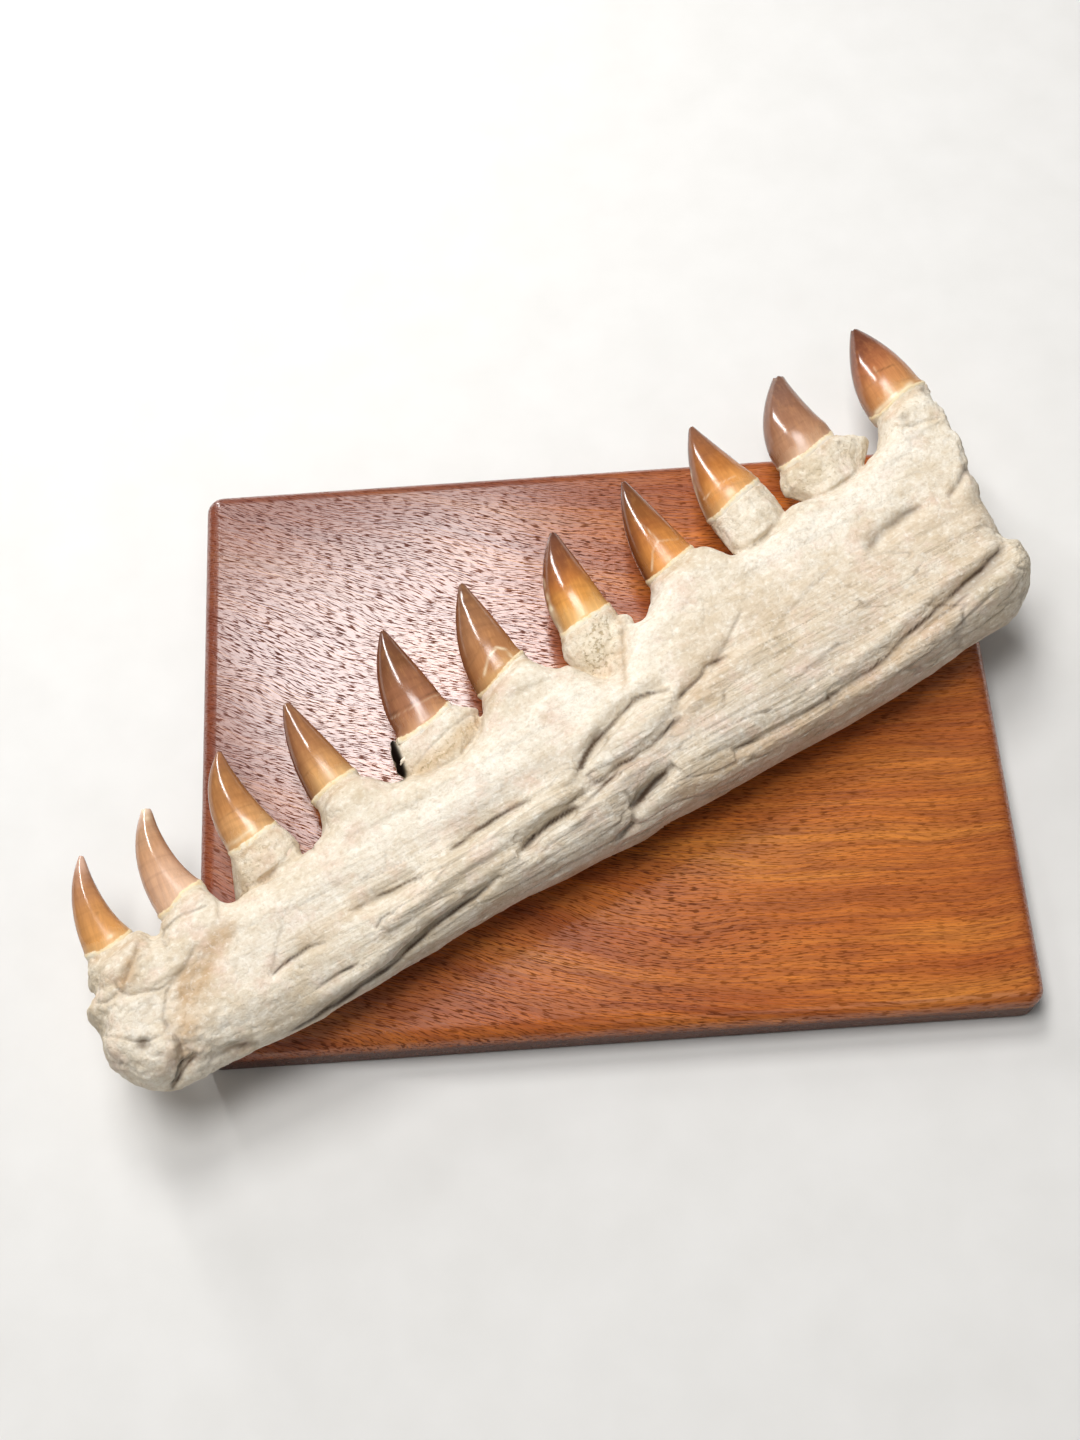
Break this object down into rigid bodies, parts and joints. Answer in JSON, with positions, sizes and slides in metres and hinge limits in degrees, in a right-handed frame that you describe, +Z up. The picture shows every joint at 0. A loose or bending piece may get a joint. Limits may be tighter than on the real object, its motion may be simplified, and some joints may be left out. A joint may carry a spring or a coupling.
{
  "type": "fossil mosasaur jaw",
  "caption": "Fossil lower jaw half of a mosasaur: a long bone with curved pointed teeth along its upper edge, lying flat across a rectangular wooden display board.",
  "frame": {"origin": "centre of the display board's underside, on the surface it lies on", "axes": "+X along the board's long side, towards the jaw's broken rear end; +Y along its short side, towards the teeth; +Z up, square to the board. The jaw's own length is turned 26.1 degrees from +X towards +Y."},
  "size_m": [0.3628, 0.2946, 0.0577],
  "materials": {
    "board_wood": "polished reddish-brown hardwood with short dark pores along its length, eased edges darker",
    "fossil_bone": "matt mineralised bone, cream to ivory with beige and grey patches, fine grooves along its length",
    "tooth_enamel": "smooth glossy enamel, honey and orange to dark brown, over matt porous cream roots"
  },
  "bodies": {
    "root": {"display_board": "board_wood", "jaw_bone": "fossil_bone", "tooth_01": "tooth_enamel", "tooth_02": "tooth_enamel", "tooth_03": "tooth_enamel", "tooth_04": "tooth_enamel", "tooth_05": "tooth_enamel", "tooth_06": "tooth_enamel", "tooth_07": "tooth_enamel", "tooth_08": "tooth_enamel", "tooth_09": "tooth_enamel", "tooth_10": "tooth_enamel", "tooth_11": "tooth_enamel"}
  },
  "joints": []
}
